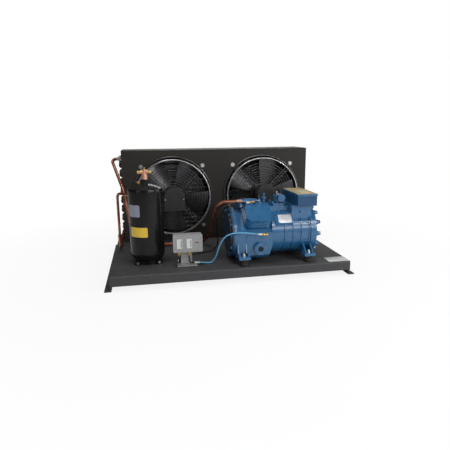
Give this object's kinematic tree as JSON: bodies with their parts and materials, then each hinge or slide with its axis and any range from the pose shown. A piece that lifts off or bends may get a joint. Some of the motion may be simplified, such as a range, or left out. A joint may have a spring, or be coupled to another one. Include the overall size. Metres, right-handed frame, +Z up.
{
  "type": "air-cooled condensing unit",
  "caption": "Condensing unit: finned coil casing with axial fans behind wire guards, receiver, pressure switch and blue V-type compressor on a railed steel tray.",
  "frame": {"origin": "on the floor under the middle of the base tray", "axes": "+X along the long side towards the compressor motor end, +Y back towards the condenser coil, +Z up"},
  "size_m": [1.142, 0.79, 0.567],
  "materials": {
    "tray_paint": "satin powder coat",
    "case_paint": "matt powder coat",
    "coil_fin": "dull thin fins",
    "copper_pipe": "drawn copper, slightly tarnished",
    "zinc_steel": "bright zinc plate",
    "black_wire": "semi-gloss black coat",
    "motor_black": "satin black",
    "blade_grey": "dull sheet",
    "receiver_black": "gloss black paint",
    "brass_fitting": "machined",
    "switch_grey": "satin light grey",
    "window_clear": "polished, pale",
    "compressor_blue": "semi-gloss blue paint",
    "steel_inner": "machined",
    "winding": "laminated steel and varnished copper",
    "rubber_black": "matt",
    "hose_blue": "smooth blue sheath",
    "hose_black": "smooth black sheath"
  },
  "bodies": {
    "unit": {"base_tray": "tray_paint", "rail_left": "tray_paint", "rail_right": "tray_paint", "fan_shroud": "case_paint", "casing_top": "case_paint", "casing_floor": "case_paint", "tube_sheet_left": "case_paint", "tube_sheet_right": "zinc_steel", "casing_end_right": "case_paint", "coil_fins": "coil_fin", "coil_tubes": "copper_pipe", "return_bends_left": "copper_pipe", "return_bends_right": "copper_pipe", "gas_header": "zinc_steel", "liquid_header": "copper_pipe", "fan_guard_left": "black_wire", "fan_guard_right": "black_wire", "guard_bolts": "zinc_steel", "fan_motor_left": "motor_black", "fan_motor_right": "motor_black", "receiver_shell": "receiver_black", "receiver_foot": "receiver_black", "receiver_bolts": "zinc_steel", "receiver_valve": "brass_fitting", "fusible_plug": "brass_fitting", "switch_case": "switch_grey", "switch_cover": "switch_grey", "switch_windows": "window_clear", "switch_bracket": "zinc_steel", "switch_fittings": "brass_fitting", "crankcase": "compressor_blue", "crank_end_cover": "compressor_blue", "motor_barrel": "compressor_blue", "motor_end_cover": "compressor_blue", "end_cover_bolts": "compressor_blue", "front_valve_plate": "compressor_blue", "rear_valve_plate": "compressor_blue", "front_cylinder_head": "compressor_blue", "rear_cylinder_head": "compressor_blue", "head_bolts": "compressor_blue", "motor_stator": "winding", "terminal_box": "compressor_blue", "terminal_box_lid": "compressor_blue", "suction_valve": "compressor_blue", "discharge_valve": "compressor_blue", "sight_glass": "compressor_blue", "lifting_eye": "compressor_blue", "rubber_mounts": "rubber_black", "mount_bolts": "zinc_steel", "discharge_pipe": "copper_pipe", "liquid_pipe": "copper_pipe", "hose_fittings": "brass_fitting", "blue_hose": "hose_blue", "black_hose": "hose_black"},
    "fan_left": {"fan_impeller_left": "blade_grey"},
    "fan_right": {"fan_impeller_right": "blade_grey"},
    "crankshaft": {"crankshaft": "steel_inner"},
    "receiver_spindle": {"receiver_spindle": "brass_fitting"},
    "suction_spindle": {"suction_spindle": "steel_inner"},
    "discharge_spindle": {"discharge_spindle": "steel_inner"}
  },
  "joints": [
    {"name": "fan_left_spin", "type": "hinge", "parent": "unit", "child": "fan_left", "pos_m": [-0.232, 0.2, 0.314], "axis": [0, 1, 0], "continuous": true},
    {"name": "fan_right_spin", "type": "hinge", "parent": "unit", "child": "fan_right", "pos_m": [0.272, 0.2, 0.314], "axis": [0, 1, 0], "continuous": true},
    {"name": "crankshaft_spin", "type": "hinge", "parent": "unit", "child": "crankshaft", "pos_m": [0.1, -0.222, 0.197], "axis": [1, 0, 0], "continuous": true},
    {"name": "receiver_spindle_turn", "type": "hinge", "parent": "unit", "child": "receiver_spindle", "pos_m": [-0.38, -0.19, 0.48], "axis": [0, 0, 1], "range_deg": [0, 1080]},
    {"name": "suction_spindle_turn", "type": "hinge", "parent": "unit", "child": "suction_spindle", "pos_m": [0.236, -0.222, 0.37], "axis": [0, 0, 1], "range_deg": [0, 1080]},
    {"name": "discharge_spindle_turn", "type": "hinge", "parent": "unit", "child": "discharge_spindle", "pos_m": [0.13, -0.222, 0.34], "axis": [1, 0, 0], "range_deg": [0, 1080]}
  ]
}
